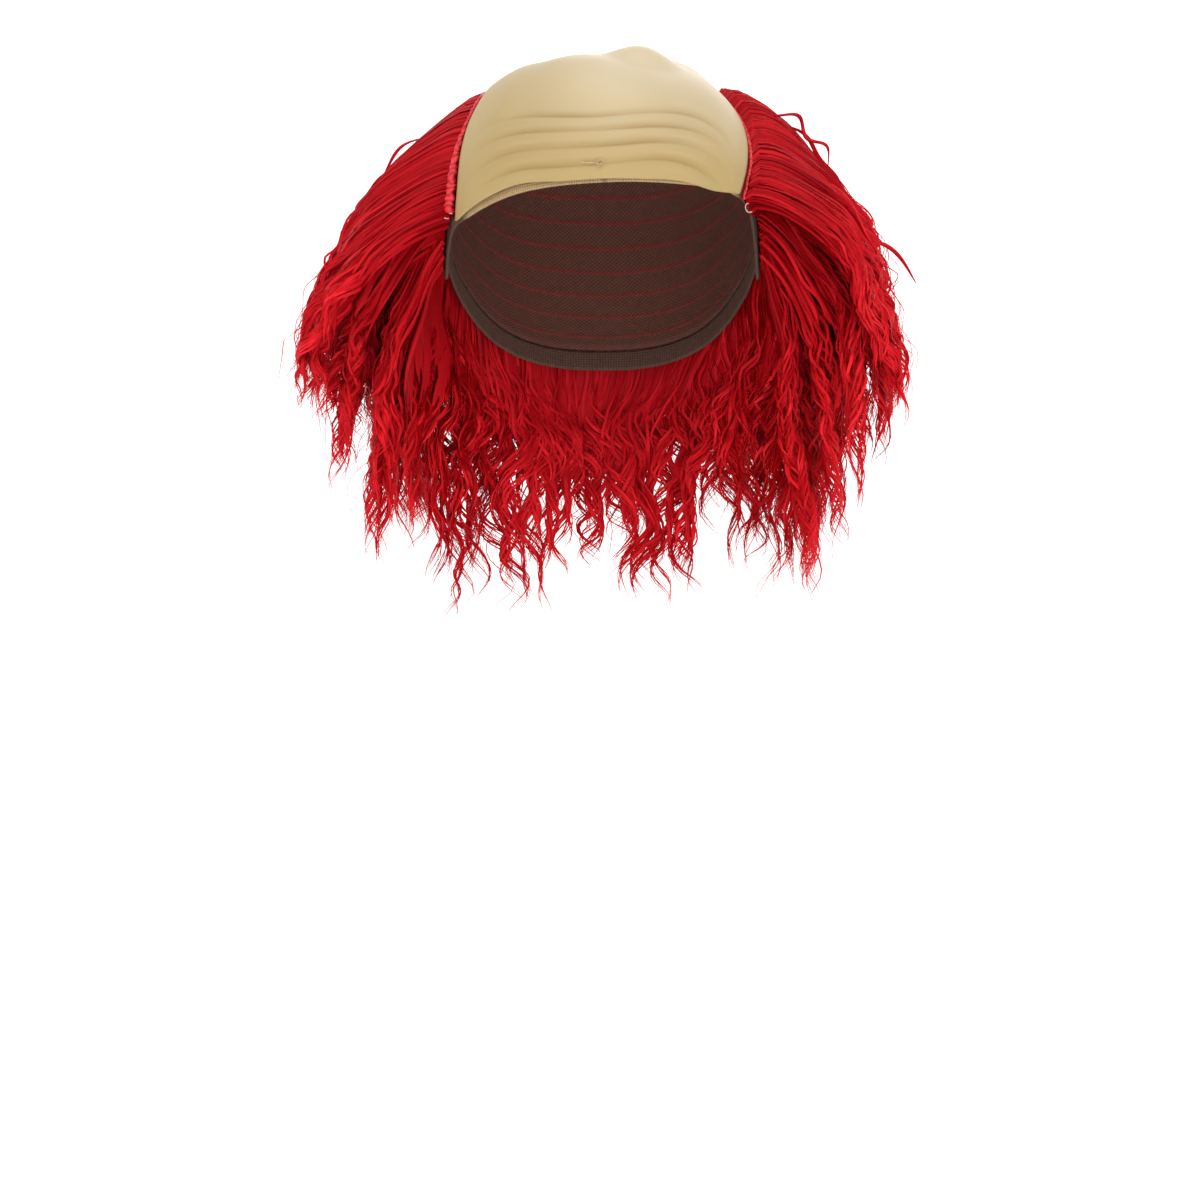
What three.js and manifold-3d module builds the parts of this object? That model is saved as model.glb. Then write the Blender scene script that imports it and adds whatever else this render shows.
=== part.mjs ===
// Bald clown wig: a wrinkled latex scalp joined to an elastic net cap, with long waved hair sewn round the
// sides and back. Millimetres, +Z up. The face looks along -Y, and the origin is where the crown of the
// wearer's head meets the inside of the wig.
import * as THREE from "three";
import { mergeVertices } from "three/addons/utils/BufferGeometryUtils.js";
import Module from "manifold-3d";

const wasm = await Module();
wasm.setup();

// The head that the wig fits
const headBreadth = 156;
const headDepth = 194;
const crownHeight = 86;
const napeReach = 125;
const planPower = 2.1;
const domePower = 2.5;

// Walls, and the clearance between neighbouring pieces
const netWall = 1.5;
const latexWall = 1.5;
const fitGap = 0.4;

// Latex scalp
const foldHeight = 1.3;
const foldWidth = 2.8;
const foldFade = 28;
const foldBend = 4;
const swellPlace = 0.33;
const swellSpan = 0.25;
const bulgeFade = 14;
const frontRise = 9;
const browRise = 32;
const backRise = 139;
const browSeamShare = 0.34;
const lastSeamShare = 0.96;
const browRows = 22;
const crownRows = 15;
const scalpColumns = 16;

// Elastic band and net cap
const bandWidth = 10;
const netOverlap = 7;
const netEndShare = 0.012;
const netFootShare = 0.94;
const netColumns = 32;
const netRows = 4;
const bandColumns = 64;

// Stitched weft along the seam
const braidInset = 3.8;
const braidPitch = 9;
const braidHalfLeft = 2.7;
const braidHalfRight = 1.6;
const braidHalfTop = 1.2;
const braidFlatness = 0.85;
const braidWaist = 0.78;
const braidSwing = 0.12;
const braidSides = 6;

// Hair
const weftClearance = 1.8;
const hairBreadth = 300;
const hairFrontReach = 118;
const hairBackReach = 164;
const hairDrop = 262;
const frontBearing = 76;
const lockThickness = 17;
const weftThickness = 3;
const restHeight = 3.5;
const tipNotch = 0.24;
const tipPinch = 0.4;
const outerShare = 0.6;
const partingDip = 0.55;
const taperPower = 2.6;
const waveLength = 84;
const waveHeight = 5;
const coilShare = 0.4;
const outPower = 2.1;
const downPower = 1.3;
const lockColumns = 4;
const lockRows = 8;
const rootCrowding = 1.3;

// Seam between the latex and the hair, from the left temple over the crown and round to the right temple,
// in degrees round from the face and up from the widest level of the head
const seam = [
  { bearing: -55, rise: 1.9 },
  { bearing: -54.3, rise: 13.5 },
  { bearing: -56, rise: 24 },
  { bearing: -58, rise: 33 },
  { bearing: -61, rise: 42 },
  { bearing: -69, rise: 49.5 },
  { bearing: -88, rise: 53.5 },
  { bearing: -108, rise: 53 },
  { bearing: -128, rise: 49.5 },
  { bearing: -152, rise: 44 },
  { bearing: 180, rise: 41.5 },
  { bearing: 152, rise: 44 },
  { bearing: 128, rise: 49.5 },
  { bearing: 108, rise: 53 },
  { bearing: 93, rise: 51.5 },
  { bearing: 81, rise: 45 },
  { bearing: 72, rise: 36.3 },
  { bearing: 64.3, rise: 28.2 },
  { bearing: 57, rise: 20.2 },
  { bearing: 52.3, rise: 14.7 },
  { bearing: 48.5, rise: 9.9 },
];

// Lower edge of the elastic band, once round the head from the middle of the forehead by the left temple
const bandEdge = [
  { bearing: 0, rise: 10 },
  { bearing: -25, rise: 7.8 },
  { bearing: -46, rise: 3 },
  { bearing: -62, rise: -1.2 },
  { bearing: -69, rise: -9 },
  { bearing: -75, rise: -16.5 },
  { bearing: -86, rise: -14 },
  { bearing: -100, rise: -11 },
  { bearing: -118, rise: -20 },
  { bearing: -142, rise: -31 },
  { bearing: 180, rise: -35 },
  { bearing: 142, rise: -31 },
  { bearing: 118, rise: -20 },
  { bearing: 100, rise: -11 },
  { bearing: 86, rise: -14 },
  { bearing: 75, rise: -16.5 },
  { bearing: 68, rise: -7 },
  { bearing: 60, rise: 5.5 },
  { bearing: 44, rise: 10.2 },
  { bearing: 24, rise: 10.4 },
];
const leftTempleRow = 4;
const rightTempleRow = 16;

// Lift of the latex's front edge above a plain arc, in degrees, at places across it from left to right
const frontLift = [0, 2.3, 3.8, 2.4, 1.9, 1.3, 0.9, -0.9, 0];

// Forehead folds, each a ridge whose height up the forehead is a share of the brow rows at the left, middle
// and right, with a swell right of the middle, and whose own height is a share of foldHeight
const folds = [
  { left: 0.08, middle: 0.08, right: -0.25, swell: 0.07, height: 0.6 },
  { left: 0.1, middle: 0.325, right: -0.1, swell: 0.06, height: 1 },
  { left: 0.24, middle: 0.575, right: -0.05, swell: 0.02, height: 1 },
  { left: 0.4, middle: 0.79, right: -0.2, swell: 0, height: 0.9 },
  { left: 0.6, middle: 1, right: -0.1, swell: 0, height: 0.7 },
];

// Soft bulges where the latex stands off the crown, placed and sized as shares of the head's half breadth
const bulges = [
  { across: 0.244, along: -0.403, radius: 0.288, height: 0.084 },
  { across: -0.19, along: -0.622, radius: 0.419, height: 0.033 },
  { across: 0.482, along: 0.083, radius: 0.367, height: 0.04 },
  { across: -0.183, along: 0.633, radius: 0.4, height: 0.007 },
];

// Rows of hair from the top down: where they are rooted between the seam and the band, how far from the temples
// they stop, how many locks each has in all and on either side, where the tips hang, as shares of the hair's
// breadth and depth, and of its drop at the sides and at the back, whether the row arches, and the gap beside a
// parting as a share of a lock
const tiers = [
  { name: "upper", root: 0.02, inset: 0, locks: 17, side: 5, breadth: 1, depth: 1, sideFall: 0.69, fall: 0.88,
    arch: 1, gap: 0.04 },
  { name: "middle", root: 0.4, inset: 0.04, locks: 14, side: 4, breadth: 0.85, depth: 0.83, sideFall: 0.85,
    fall: 0.94, arch: 0, gap: 0.06 },
  { name: "lower", root: 0.82, inset: 0.05, locks: 12, side: 3, breadth: 0.68, depth: 0.69, sideFall: 1, fall: 1,
    arch: 0, gap: 0.04 },
];

// How many millimetres the upper hair arches up on its way out, at places round the cap from left to right
const archHeights = [0, 2, 2, 5, 12, 13, 6];

// How locks in turn differ: their reach and drop as shares, their turn round the head in degrees, the phase
// of their wave in turns, and their thickness as a share
const traits = [
  { reach: 1, drop: 1, turn: 0, phase: 0.1, size: 1 },
  { reach: 0.95, drop: 0.94, turn: 1.5, phase: 0.35, size: 0.86 },
  { reach: 1.02, drop: 1.04, turn: -1, phase: 0.2, size: 1.06 },
  { reach: 0.97, drop: 0.92, turn: 2, phase: 0.5, size: 0.92 },
  { reach: 1.01, drop: 1.01, turn: -2, phase: 0.05, size: 1.08 },
  { reach: 0.93, drop: 1.02, turn: 0.5, phase: 0.3, size: 0.9 },
  { reach: 0.98, drop: 0.96, turn: 1, phase: 0.45, size: 1 },
];

const { clamp, lerp, smoothstep, degToRad } = THREE.MathUtils;
const onNet = netWall + fitGap;
const hairStart = braidInset + braidHalfLeft + weftClearance;
const meanRadius = (headBreadth + headDepth) / 4;
const up = new THREE.Vector3(0, 0, 1);

// Unit direction from the middle of the head at a bearing and a rise.
function heading(bearing, rise) {
  const [b, e] = [degToRad(bearing), degToRad(rise)];
  return new THREE.Vector3(Math.cos(e) * Math.sin(b), -Math.cos(e) * Math.cos(b), Math.sin(e));
}

// Point in a direction from the middle of the head, standing off the head's surface, with the normal there.
function onHead(direction, off = 0) {
  const [side, fore] = [headBreadth / 2, headDepth / 2];
  const tall = direction.z > 0 ? crownHeight : napeReach;
  const planOf = (p) => Math.max(Math.abs(p.x / side) ** planPower + Math.abs(p.y / fore) ** planPower, 1e-9);
  const level = planOf(direction) ** (domePower / planPower) + Math.abs(direction.z / tall) ** domePower;
  const point = direction.clone().multiplyScalar(level ** (-1 / domePower));
  const steep = planOf(point) ** (domePower / planPower - 1);
  const normal = new THREE.Vector3(
    (steep * Math.sign(point.x) * Math.abs(point.x) ** (planPower - 1)) / side ** planPower,
    (steep * Math.sign(point.y) * Math.abs(point.y) ** (planPower - 1)) / fore ** planPower,
    (Math.sign(point.z) * Math.abs(point.z) ** (domePower - 1)) / tall ** domePower,
  ).normalize();
  const middle = new THREE.Vector3(0, 0, -crownHeight);
  return { point: point.addScaledVector(normal, off).add(middle), normal };
}

// Number at a share of the way along a list of evenly spaced ones.
function between(values, share) {
  const place = clamp(share, 0, 1) * (values.length - 1);
  const step = Math.min(Math.floor(place), values.length - 2);
  return lerp(values[step], values[step + 1], place - step);
}

// Smooth line of directions through the rows of a table.
const lineThrough = (table, closed) =>
  new THREE.CatmullRomCurve3(table.map((row) => heading(row.bearing, row.rise)), closed);
const seamLine = lineThrough(seam, false);
const bandLine = lineThrough(bandEdge, true);

// Direction moved over the head by some millimetres to one side of a line of directions.
function beside(line, share, distance) {
  const here = line.getPointAt(clamp(share, 0, 1)).normalize();
  const away = line.getTangentAt(clamp(share, 0, 1)).cross(here).normalize();
  const radius = onHead(here).point.distanceTo(new THREE.Vector3(0, 0, -crownHeight));
  return here.addScaledVector(away, distance / radius).normalize();
}

// Direction on the sides and back of the cap: along from the left temple to the right one, down from where
// the hair starts to the band's lower edge.
function onCap(along, down) {
  const rows = bandEdge.length;
  const foot = bandLine.getPoint(lerp(leftTempleRow, rightTempleRow, along) / rows).normalize();
  return beside(seamLine, along, -hairStart).lerp(foot, down).normalize();
}

// Geometry of one closed body with its faces turned outwards.
function closedBody(corners, faces) {
  const at = (i) => new THREE.Vector3().fromArray(corners, 3 * faces[i]);
  let volume = 0;
  for (let i = 0; i < faces.length; i += 3) volume += at(i).dot(at(i + 1).cross(at(i + 2)));
  if (volume < 0) faces.reverse();
  const geometry = new THREE.BufferGeometry();
  geometry.setAttribute("position", new THREE.Float32BufferAttribute(corners, 3));
  geometry.setIndex(faces);
  return geometry;
}

// Wall between two grids of points, where place gives the point at a share up and along, inside or outside.
function wall(rows, columns, wrapped, place) {
  const ring = wrapped ? columns : columns + 1;
  const corners = [];
  const faces = [];
  for (const outside of [0, 1])
    for (let r = 0; r <= rows; r++)
      for (let c = 0; c < ring; c++) corners.push(...place(r / rows, c / columns, outside).toArray());
  const at = (outside, r, c) => (outside * (rows + 1) + r) * ring + (c % ring);
  const quad = (a, b, c, d) => faces.push(a, b, c, a, c, d);
  for (let c = 0; c < columns; c++) {
    for (let r = 0; r < rows; r++) {
      quad(at(0, r, c), at(0, r, c + 1), at(0, r + 1, c + 1), at(0, r + 1, c));
      quad(at(1, r, c), at(1, r + 1, c), at(1, r + 1, c + 1), at(1, r, c + 1));
    }
    quad(at(0, 0, c), at(1, 0, c), at(1, 0, c + 1), at(0, 0, c + 1));
    quad(at(0, rows, c), at(0, rows, c + 1), at(1, rows, c + 1), at(1, rows, c));
  }
  for (let r = 0; r < rows && !wrapped; r++) {
    quad(at(0, r, 0), at(0, r + 1, 0), at(1, r + 1, 0), at(1, r, 0));
    quad(at(0, r, columns), at(1, r, columns), at(1, r + 1, columns), at(0, r + 1, columns));
  }
  return closedBody(corners, faces);
}

// Tube through rings that each have a middle and two half axes, closed at both ends.
function tube(rings, sides) {
  const corners = [];
  const faces = [];
  for (const ring of rings)
    for (let k = 0; k < sides; k++) {
      const turn = (2 * Math.PI * k) / sides;
      const point = ring.middle.clone().addScaledVector(ring.wide, Math.cos(turn));
      corners.push(...point.addScaledVector(ring.thick, Math.sin(turn)).toArray());
    }
  const last = (rings.length - 1) * sides;
  for (let r = 0; r < last; r += sides)
    for (let k = 0; k < sides; k++) {
      const next = (k + 1) % sides;
      faces.push(r + k, r + next, r + sides + next, r + k, r + sides + next, r + sides + k);
    }
  for (let k = 1; k < sides - 1; k++) faces.push(0, k + 1, k, last, last + k, last + k + 1);
  return closedBody(corners, faces);
}

// Solid of a geometry, for joining and cutting.
function solidOf(geometry) {
  const merged = mergeVertices(geometry);
  const vertProperties = new Float32Array(merged.attributes.position.array);
  const triVerts = new Uint32Array(merged.index.array);
  return new wasm.Manifold(new wasm.Mesh({ numProp: 3, vertProperties, triVerts }));
}

// Geometry of the biggest body of a solid.
function geometryOf(solid) {
  const bodies = solid.decompose().sort((a, b) => b.volume() - a.volume());
  const mesh = bodies[0].getMesh();
  const geometry = new THREE.BufferGeometry();
  geometry.setAttribute("position", new THREE.BufferAttribute(new Float32Array(mesh.vertProperties), 3));
  geometry.setIndex(new THREE.BufferAttribute(new Uint32Array(mesh.triVerts), 1));
  return geometry;
}

// Direction of a place on the latex scalp, up from the brow over the crown to the back, and across from the
// left seam to the right one.
function latexDirection(up, across) {
  const row = up * (browRows + crownRows);
  const brow = Math.min(row / browRows, 1);
  const crown = Math.max((row - browRows) / crownRows, 0);
  const share = lerp(brow * browSeamShare, lastSeamShare, crown) / 2;
  const left = seamLine.getPointAt(share).normalize();
  const right = seamLine.getPointAt(1 - share).normalize();
  const rise = lerp(lerp(frontRise, browRise, brow), backRise, crown);
  const lift = between(frontLift, across) * (1 - brow) ** 2;
  const u = 2 * across - 1;
  const direction = heading(0, rise).multiplyScalar(1 - u * u);
  direction.addScaledVector(left, (u * (u - 1)) / 2).addScaledVector(right, (u * (u + 1)) / 2).normalize();
  direction.z += Math.sin(degToRad(lift));
  return { direction: direction.normalize(), brow, crown, row };
}

// Point on the inside or outside of the latex, which stands off the head over the cap's edge, at the folds
// and at the bulges, and lies flat along the seam.
function latexPoint(up, across, outside) {
  const { direction, brow, crown, row } = latexDirection(up, across);
  const u = 2 * across - 1;
  const halfWay = latexDirection(up, 0).direction.angleTo(latexDirection(up, 0.5).direction);
  const fromSide = (1 - Math.abs(u)) * halfWay * meanRadius;
  const fromFront = degToRad((browRise - frontRise) * brow + 90 * crown) * meanRadius;
  const fromBack = degToRad(backRise - browRise) * (1 - crown) * meanRadius;
  const inward = Math.min(fromSide, fromFront, fromBack);
  const free = smoothstep(fromSide, latexWall, foldFade);
  const rowHeight = (degToRad(browRise - frontRise) * meanRadius) / browRows;
  let off = onNet * (1 - smoothstep(inward, netOverlap + bandWidth, netOverlap + 3 * bandWidth));
  for (const fold of folds) {
    const swell = fold.swell * Math.exp(-(((u - swellPlace) / swellSpan) ** 2));
    const height = lerp(fold.middle, u < 0 ? fold.left : fold.right, Math.abs(u) ** foldBend) + swell;
    const near = ((row - height * browRows) * rowHeight) / foldWidth;
    off += foldHeight * fold.height * Math.exp(-near * near) * free;
  }
  const half = headBreadth / 2;
  const { point } = onHead(direction);
  for (const bulge of bulges) {
    const away = Math.hypot(point.x / half - bulge.across, point.y / half - bulge.along) / bulge.radius;
    off += bulge.height * half * Math.max(1 - away * away, 0) ** 2 * smoothstep(fromSide, latexWall, bulgeFade);
  }
  return onHead(direction, off + outside * latexWall).point;
}

// Elastic band, and the same band with clearance round it for cutting its neighbours.
function band(clearance) {
  return wall(1, bandColumns, true, (rise, round, outside) => {
    const direction = beside(bandLine, round, rise * (bandWidth + 2 * clearance) - clearance);
    return onHead(direction, outside * (netWall + 2 * clearance) - clearance).point;
  });
}

// Net cap from under the edge of the latex down to the band, where it is trimmed to meet the band.
function netCap() {
  const whole = wall(netRows, netColumns, false, (down, along, outside) => {
    const share = lerp(netEndShare, 1 - netEndShare, along);
    const overlap = netOverlap * smoothstep(Math.min(share, 1 - share), 2 * netEndShare, 0.1);
    const top = beside(seamLine, share, overlap);
    return onHead(top.lerp(onCap(share, netFootShare), down).normalize(), outside * netWall).point;
  });
  return solidOf(whole).subtract(solidOf(band(fitGap)));
}

// Braided weft beside the seam, plaited as beads that step from side to side.
function braid() {
  const length = seamLine.getLength() * meanRadius;
  const count = 2 * Math.round(length / braidPitch);
  const rings = [];
  for (let i = 0; i <= count; i++) {
    const share = i / count;
    const low = smoothstep(Math.abs(share - 0.5), 0.22, 0.48);
    const half = lerp(braidHalfTop, share < 0.5 ? braidHalfLeft : braidHalfRight, low);
    const bead = i % 2 ? half : half * braidWaist;
    const swing = i > 0 && i < count ? ((i % 4) - 1.5) * braidSwing * half : 0;
    const off = onNet + half * braidFlatness;
    const { point, normal } = onHead(beside(seamLine, share, swing - braidInset), off);
    const forward = onHead(beside(seamLine, Math.min(share + 0.01, 1), -braidInset)).point;
    forward.sub(onHead(beside(seamLine, Math.max(share - 0.01, 0), -braidInset)).point);
    const wide = forward.cross(normal).setLength(bead);
    rings.push({ middle: point, wide, thick: normal.multiplyScalar(bead * braidFlatness) });
  }
  return tube(rings, braidSides);
}

// How a lock stands out at a place in its row, where whole numbers are the partings between locks.
function traitAt(tier, place) {
  const spot = place - 0.5;
  const turns = 3 * Math.floor(spot) + 7 * tiers.indexOf(tier) + 3 * traits.length;
  const [here, next] = [traits[turns % traits.length], traits[(turns + 3) % traits.length]];
  const blend = {};
  for (const key of Object.keys(here)) blend[key] = lerp(here[key], next[key], spot - Math.floor(spot));
  return blend;
}

// Middle of the hair at a place in its row and a share of the way from root to tip.
function hairMiddle(tier, place, share) {
  const along = lerp(tier.inset, 1 - tier.inset, place / tier.locks);
  const trait = traitAt(tier, place);
  const out = heading(lerp(-frontBearing, frontBearing - 360, along) + trait.turn, 0);
  const back = 1 - smoothstep(Math.abs(along - 0.5), 0.1, 0.34);
  const swell = lerp(tier.breadth, tier.depth, back) * trait.reach;
  const reach = Math.hypot(out.x / (hairBreadth / 2), out.y / (out.y > 0 ? hairBackReach : hairFrontReach));
  const tip = out.clone().multiplyScalar(swell / reach);
  tip.z = -hairDrop * lerp(tier.sideFall, tier.fall, back) * trait.drop;
  const root = onHead(onCap(along, tier.root), onNet).point;
  const angle = 2 * Math.PI * ((share * root.distanceTo(tip)) / waveLength + trait.phase);
  const sway = waveHeight * smoothstep(share, 0.08, 0.4);
  const outward = 1 - (1 - share) ** outPower;
  const point = new THREE.Vector3(
    lerp(root.x, tip.x, outward),
    lerp(root.y, tip.y, outward),
    lerp(root.z, tip.z, share ** downPower),
  );
  point.z += tier.arch * between(archHeights, along) * Math.sin(Math.PI * Math.sqrt(clamp(share, 0, 1)));
  const aside = new THREE.Vector3().crossVectors(out, up);
  point.addScaledVector(aside, sway * Math.sin(angle));
  point.addScaledVector(out, coilShare * sway * Math.cos(angle));
  return { point, aside, size: trait.size };
}

// Point on the inside or outside of a row of locks. Each lock is a ridge that ends in a point, and rests on
// the cap where it would otherwise sink into it.
function hairPoint(tier, place, down, outside) {
  const parting = Math.abs(2 * (place - Math.floor(place)) - 1);
  const share = down ** rootCrowding * (1 - tipNotch * parting);
  const pinch = parting < 1 ? tipPinch * smoothstep(share, 0.5, 1) : 0;
  const spot = lerp(place, Math.floor(place) + 0.5, pinch);
  const { point, aside, size } = hairMiddle(tier, spot, share);
  const ahead = hairMiddle(tier, spot, Math.min(share + 0.02, 1)).point;
  ahead.sub(hairMiddle(tier, spot, Math.max(share - 0.02, 0)).point);
  const swell = smoothstep(share, 0.04, 0.42);
  const taper = (1 - partingDip * parting ** 2) * (1 - 0.97 * share ** taperPower) * size;
  const outer = lerp(weftThickness, outerShare * lockThickness, swell) * taper;
  const inner = (outerShare - 1) * lockThickness * swell * taper;
  point.addScaledVector(aside.cross(ahead).normalize(), outside ? outer : inner);
  const middle = new THREE.Vector3(0, 0, -crownHeight);
  const direction = point.clone().sub(middle).normalize();
  const off = onNet + outside * weftThickness + Math.min(share / 0.1, 1) * restHeight;
  const rest = onHead(direction, off).point;
  return point.distanceTo(middle) < rest.distanceTo(middle) ? rest : point;
}

// Row of hair between two partings.
function hair(tier, from, to) {
  const [start, end] = [from + tier.gap, to - tier.gap];
  return wall(lockRows, lockColumns * (to - from), false, (down, along, outside) =>
    hairPoint(tier, lerp(start, end, along), down, outside),
  );
}

const wig = new THREE.Group();

function addPiece(name, geometry, colour, roughness) {
  const piece = new THREE.Mesh(geometry, new THREE.MeshStandardMaterial({ color: colour, roughness }));
  piece.name = name;
  wig.add(piece);
}

addPiece("latex_scalp", wall(browRows + crownRows, scalpColumns, false, latexPoint), 0xd7bb86, 0.45);
addPiece("elastic_band", band(0), 0x9a7650, 0.8);
addPiece("net_cap", geometryOf(netCap()), 0x5a2f22, 0.85);
addPiece("seam_braid", braid(), 0xe03038, 0.4);
for (const tier of tiers) {
  const partings = [0, tier.side, tier.locks - tier.side, tier.locks];
  ["left", "back", "right"].forEach((side, i) =>
    addPiece(`${tier.name}_hair_${side}`, hair(tier, partings[i], partings[i + 1]), 0xa8121c, 0.55),
  );
}

export default wig;
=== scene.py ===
import bpy
import numpy as np
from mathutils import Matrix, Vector


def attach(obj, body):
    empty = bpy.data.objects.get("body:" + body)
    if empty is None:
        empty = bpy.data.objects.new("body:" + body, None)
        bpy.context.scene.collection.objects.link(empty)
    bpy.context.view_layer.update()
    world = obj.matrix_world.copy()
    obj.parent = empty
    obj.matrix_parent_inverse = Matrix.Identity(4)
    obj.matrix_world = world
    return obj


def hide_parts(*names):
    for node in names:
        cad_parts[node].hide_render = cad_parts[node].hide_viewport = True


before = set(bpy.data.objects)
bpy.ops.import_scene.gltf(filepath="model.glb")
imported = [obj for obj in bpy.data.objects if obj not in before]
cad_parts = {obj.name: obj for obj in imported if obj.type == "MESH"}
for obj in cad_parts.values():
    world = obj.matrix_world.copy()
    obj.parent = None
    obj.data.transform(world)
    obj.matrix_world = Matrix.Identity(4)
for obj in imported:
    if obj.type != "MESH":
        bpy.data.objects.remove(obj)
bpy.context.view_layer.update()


# Studio: a pale sweep that runs from the floor up behind the wig, a camera level with the lowest tips of the
# hair, and soft lamps from the front, both sides, above and behind. The wig hangs as it is worn.
FLOOR_DROP, SWEEP_HALF, SWEEP_FRONT, SWEEP_BACK, SWEEP_TOP, SWEEP_BEND = -0.6, 4.5, -4.5, 3.3, 3.6, 1.0
CAMERA_AWAY, CAMERA_LEVEL, CAMERA_SIDE, FRAME_WIDTH, SENSOR = 2.2, -0.2685, -0.001, 0.6, 36.0


def mesh_piece(name, points, faces, finish, uv=None, marks=None, metres=0.001):
    """Mesh object from points in millimetres and arrays of faces with equal numbers of corners, with a UV
    place for each point and named numbers for each point."""
    mesh = bpy.data.meshes.new(name)
    mesh.vertices.add(len(points))
    mesh.vertices.foreach_set("co", (np.asarray(points) * metres).astype(np.float32).ravel())
    sizes = np.concatenate([np.full(len(f), f.shape[1]) for f in faces])
    corners = np.concatenate([f.ravel() for f in faces]).astype(np.int32)
    mesh.loops.add(len(corners))
    mesh.loops.foreach_set("vertex_index", corners)
    mesh.polygons.add(len(sizes))
    mesh.polygons.foreach_set("loop_start", np.concatenate([[0], np.cumsum(sizes)[:-1]]).astype(np.int32))
    mesh.polygons.foreach_set("use_smooth", np.ones(len(sizes), bool))
    if uv is not None:
        layer = mesh.uv_layers.new(name="OFBake")
        layer.data.foreach_set("uv", uv[corners].astype(np.float32).ravel())
    for key, values in (marks or {}).items():
        mark = mesh.attributes.new(key, "FLOAT", "POINT")
        mark.data.foreach_set("value", np.asarray(values, np.float32).ravel())
    mesh.update(calc_edges=True)
    mesh.materials.append(finish)
    piece = bpy.data.objects.new(name, mesh)
    bpy.context.scene.collection.objects.link(piece)
    return piece


def grid_faces(rows, columns, wrapped=False, start=0, turned=False):
    """Quads between neighbouring rows and columns of a grid of points, stored row by row."""
    ring = columns if wrapped else columns + 1
    r, c = np.meshgrid(np.arange(rows), np.arange(columns), indexing="ij")
    near, far = start + r * ring + c, start + r * ring + (c + 1) % ring
    quads = np.stack([near, far, far + ring, near + ring], -1).reshape(-1, 4)
    return quads[:, ::-1] if turned else quads


class Shade:
    """Socket in one material's nodes. Sums, differences and products of it add Math nodes."""

    def __init__(self, tree, socket=None):
        self.tree, self.socket = tree, socket

    def node(self, kind, settings=None, inputs=None, out=0):
        """One output of a new node of a kind, with its settings and then its sockets' values or links."""
        made = self.tree.nodes.new("ShaderNode" + kind)
        for key, value in (settings or {}).items():
            if key == "stops":
                while len(made.color_ramp.elements) < len(value):
                    made.color_ramp.elements.new(0.5)
                for stop, (place, colour) in zip(made.color_ramp.elements, value):
                    stop.position, stop.color = place, (*colour, 1)
            else:
                setattr(made, key, value)
        for key, value in (inputs or {}).items():
            if isinstance(value, Shade):
                self.tree.links.new(value.socket, made.inputs[key])
            elif value is not None:
                made.inputs[key].default_value = (*value, 1) if made.inputs[key].type == "RGBA" else value
        return Shade(self.tree, made.outputs[out])

    def maths(self, operation, *others):
        return self.node("Math", {"operation": operation}, dict(enumerate((self, *others))))

    def __add__(self, other): return self.maths("ADD", other)
    def __sub__(self, other): return self.maths("SUBTRACT", other)
    def __rsub__(self, other): return self.node("Math", {"operation": "SUBTRACT"}, {0: other, 1: self})
    def __mul__(self, other): return self.maths("MULTIPLY", other)
    __radd__, __rmul__ = __add__, __mul__

    def blend(self, first, second):
        """Colour between two colours, by this socket's share."""
        return self.node("Mix", {"data_type": "RGBA"}, {0: self, 6: first, 7: second}, 2)

    def part(self, axis):
        """This vector's number across, along or up, for an axis of 0, 1 or 2."""
        return self.node("SeparateXYZ", None, {"Vector": self}, axis)

    def ramp(self, low, high, start=0.0, end=1.0):
        """Number that goes from start to end as this one goes from low to high."""
        return self.node("MapRange", None, {0: self, 1: low, 2: high, 3: start, 4: end})

    def wave(self, turns):
        """Sine of this number times some whole turns."""
        return (self * (2 * np.pi * turns)).maths("SINE")

    def noise(self, scale, detail, roughness=0.5):
        """Cloudy noise at this place, with so many cells to a unit."""
        return self.node("TexNoise", None, {
            "Vector": self, "Scale": scale, "Detail": detail, "Roughness": roughness})

    def relief(self, strength, distance):
        """Normal of a surface with this height."""
        return self.node("Bump", None, {"Strength": strength, "Distance": distance, "Height": self})


def finish_of(name, draw):
    """Material whose main shader's sockets are what draw returns for an empty set of nodes."""
    finish = bpy.data.materials.new(name)
    finish.use_nodes = True
    main = finish.node_tree.nodes["Principled BSDF"]
    for key, value in draw(Shade(finish.node_tree)).items():
        if isinstance(value, Shade):
            finish.node_tree.links.new(value.socket, main.inputs[key])
        else:
            main.inputs[key].default_value = (*value, 1) if main.inputs[key].type == "RGBA" else value
    return finish


def sweep_place():
    """Floor and wall joined by a quarter circle, carried straight across."""
    turn = np.linspace(0, np.pi / 2, 25)
    y = np.concatenate([[SWEEP_FRONT], SWEEP_BACK - SWEEP_BEND * (1 - np.sin(turn)), [SWEEP_BACK]])
    z = FLOOR_DROP + np.concatenate([[0], SWEEP_BEND * (1 - np.cos(turn)), [SWEEP_TOP]])
    x = np.array([-SWEEP_HALF, SWEEP_HALF])
    return np.stack([np.broadcast_to(x, (len(y), 2)), *(np.repeat(v[:, None], 2, 1) for v in (y, z))], -1)


def draw_sweep(shade):
    """Matt white paper, slightly cloudy and lit a little from within."""
    spots = shade.node("TexCoord", out=0).noise(3.0, 2.0)
    return {"Base Color": spots.blend((0.84, 0.84, 0.84), (0.88, 0.88, 0.88)), "Roughness": 0.9,
            "Emission Color": (1, 1, 1), "Emission Strength": 0.5}


sweep = mesh_piece("studio_sweep", sweep_place().reshape(-1, 3), [grid_faces(26, 1)],
                   finish_of("studio_paper", draw_sweep), metres=1)

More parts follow.
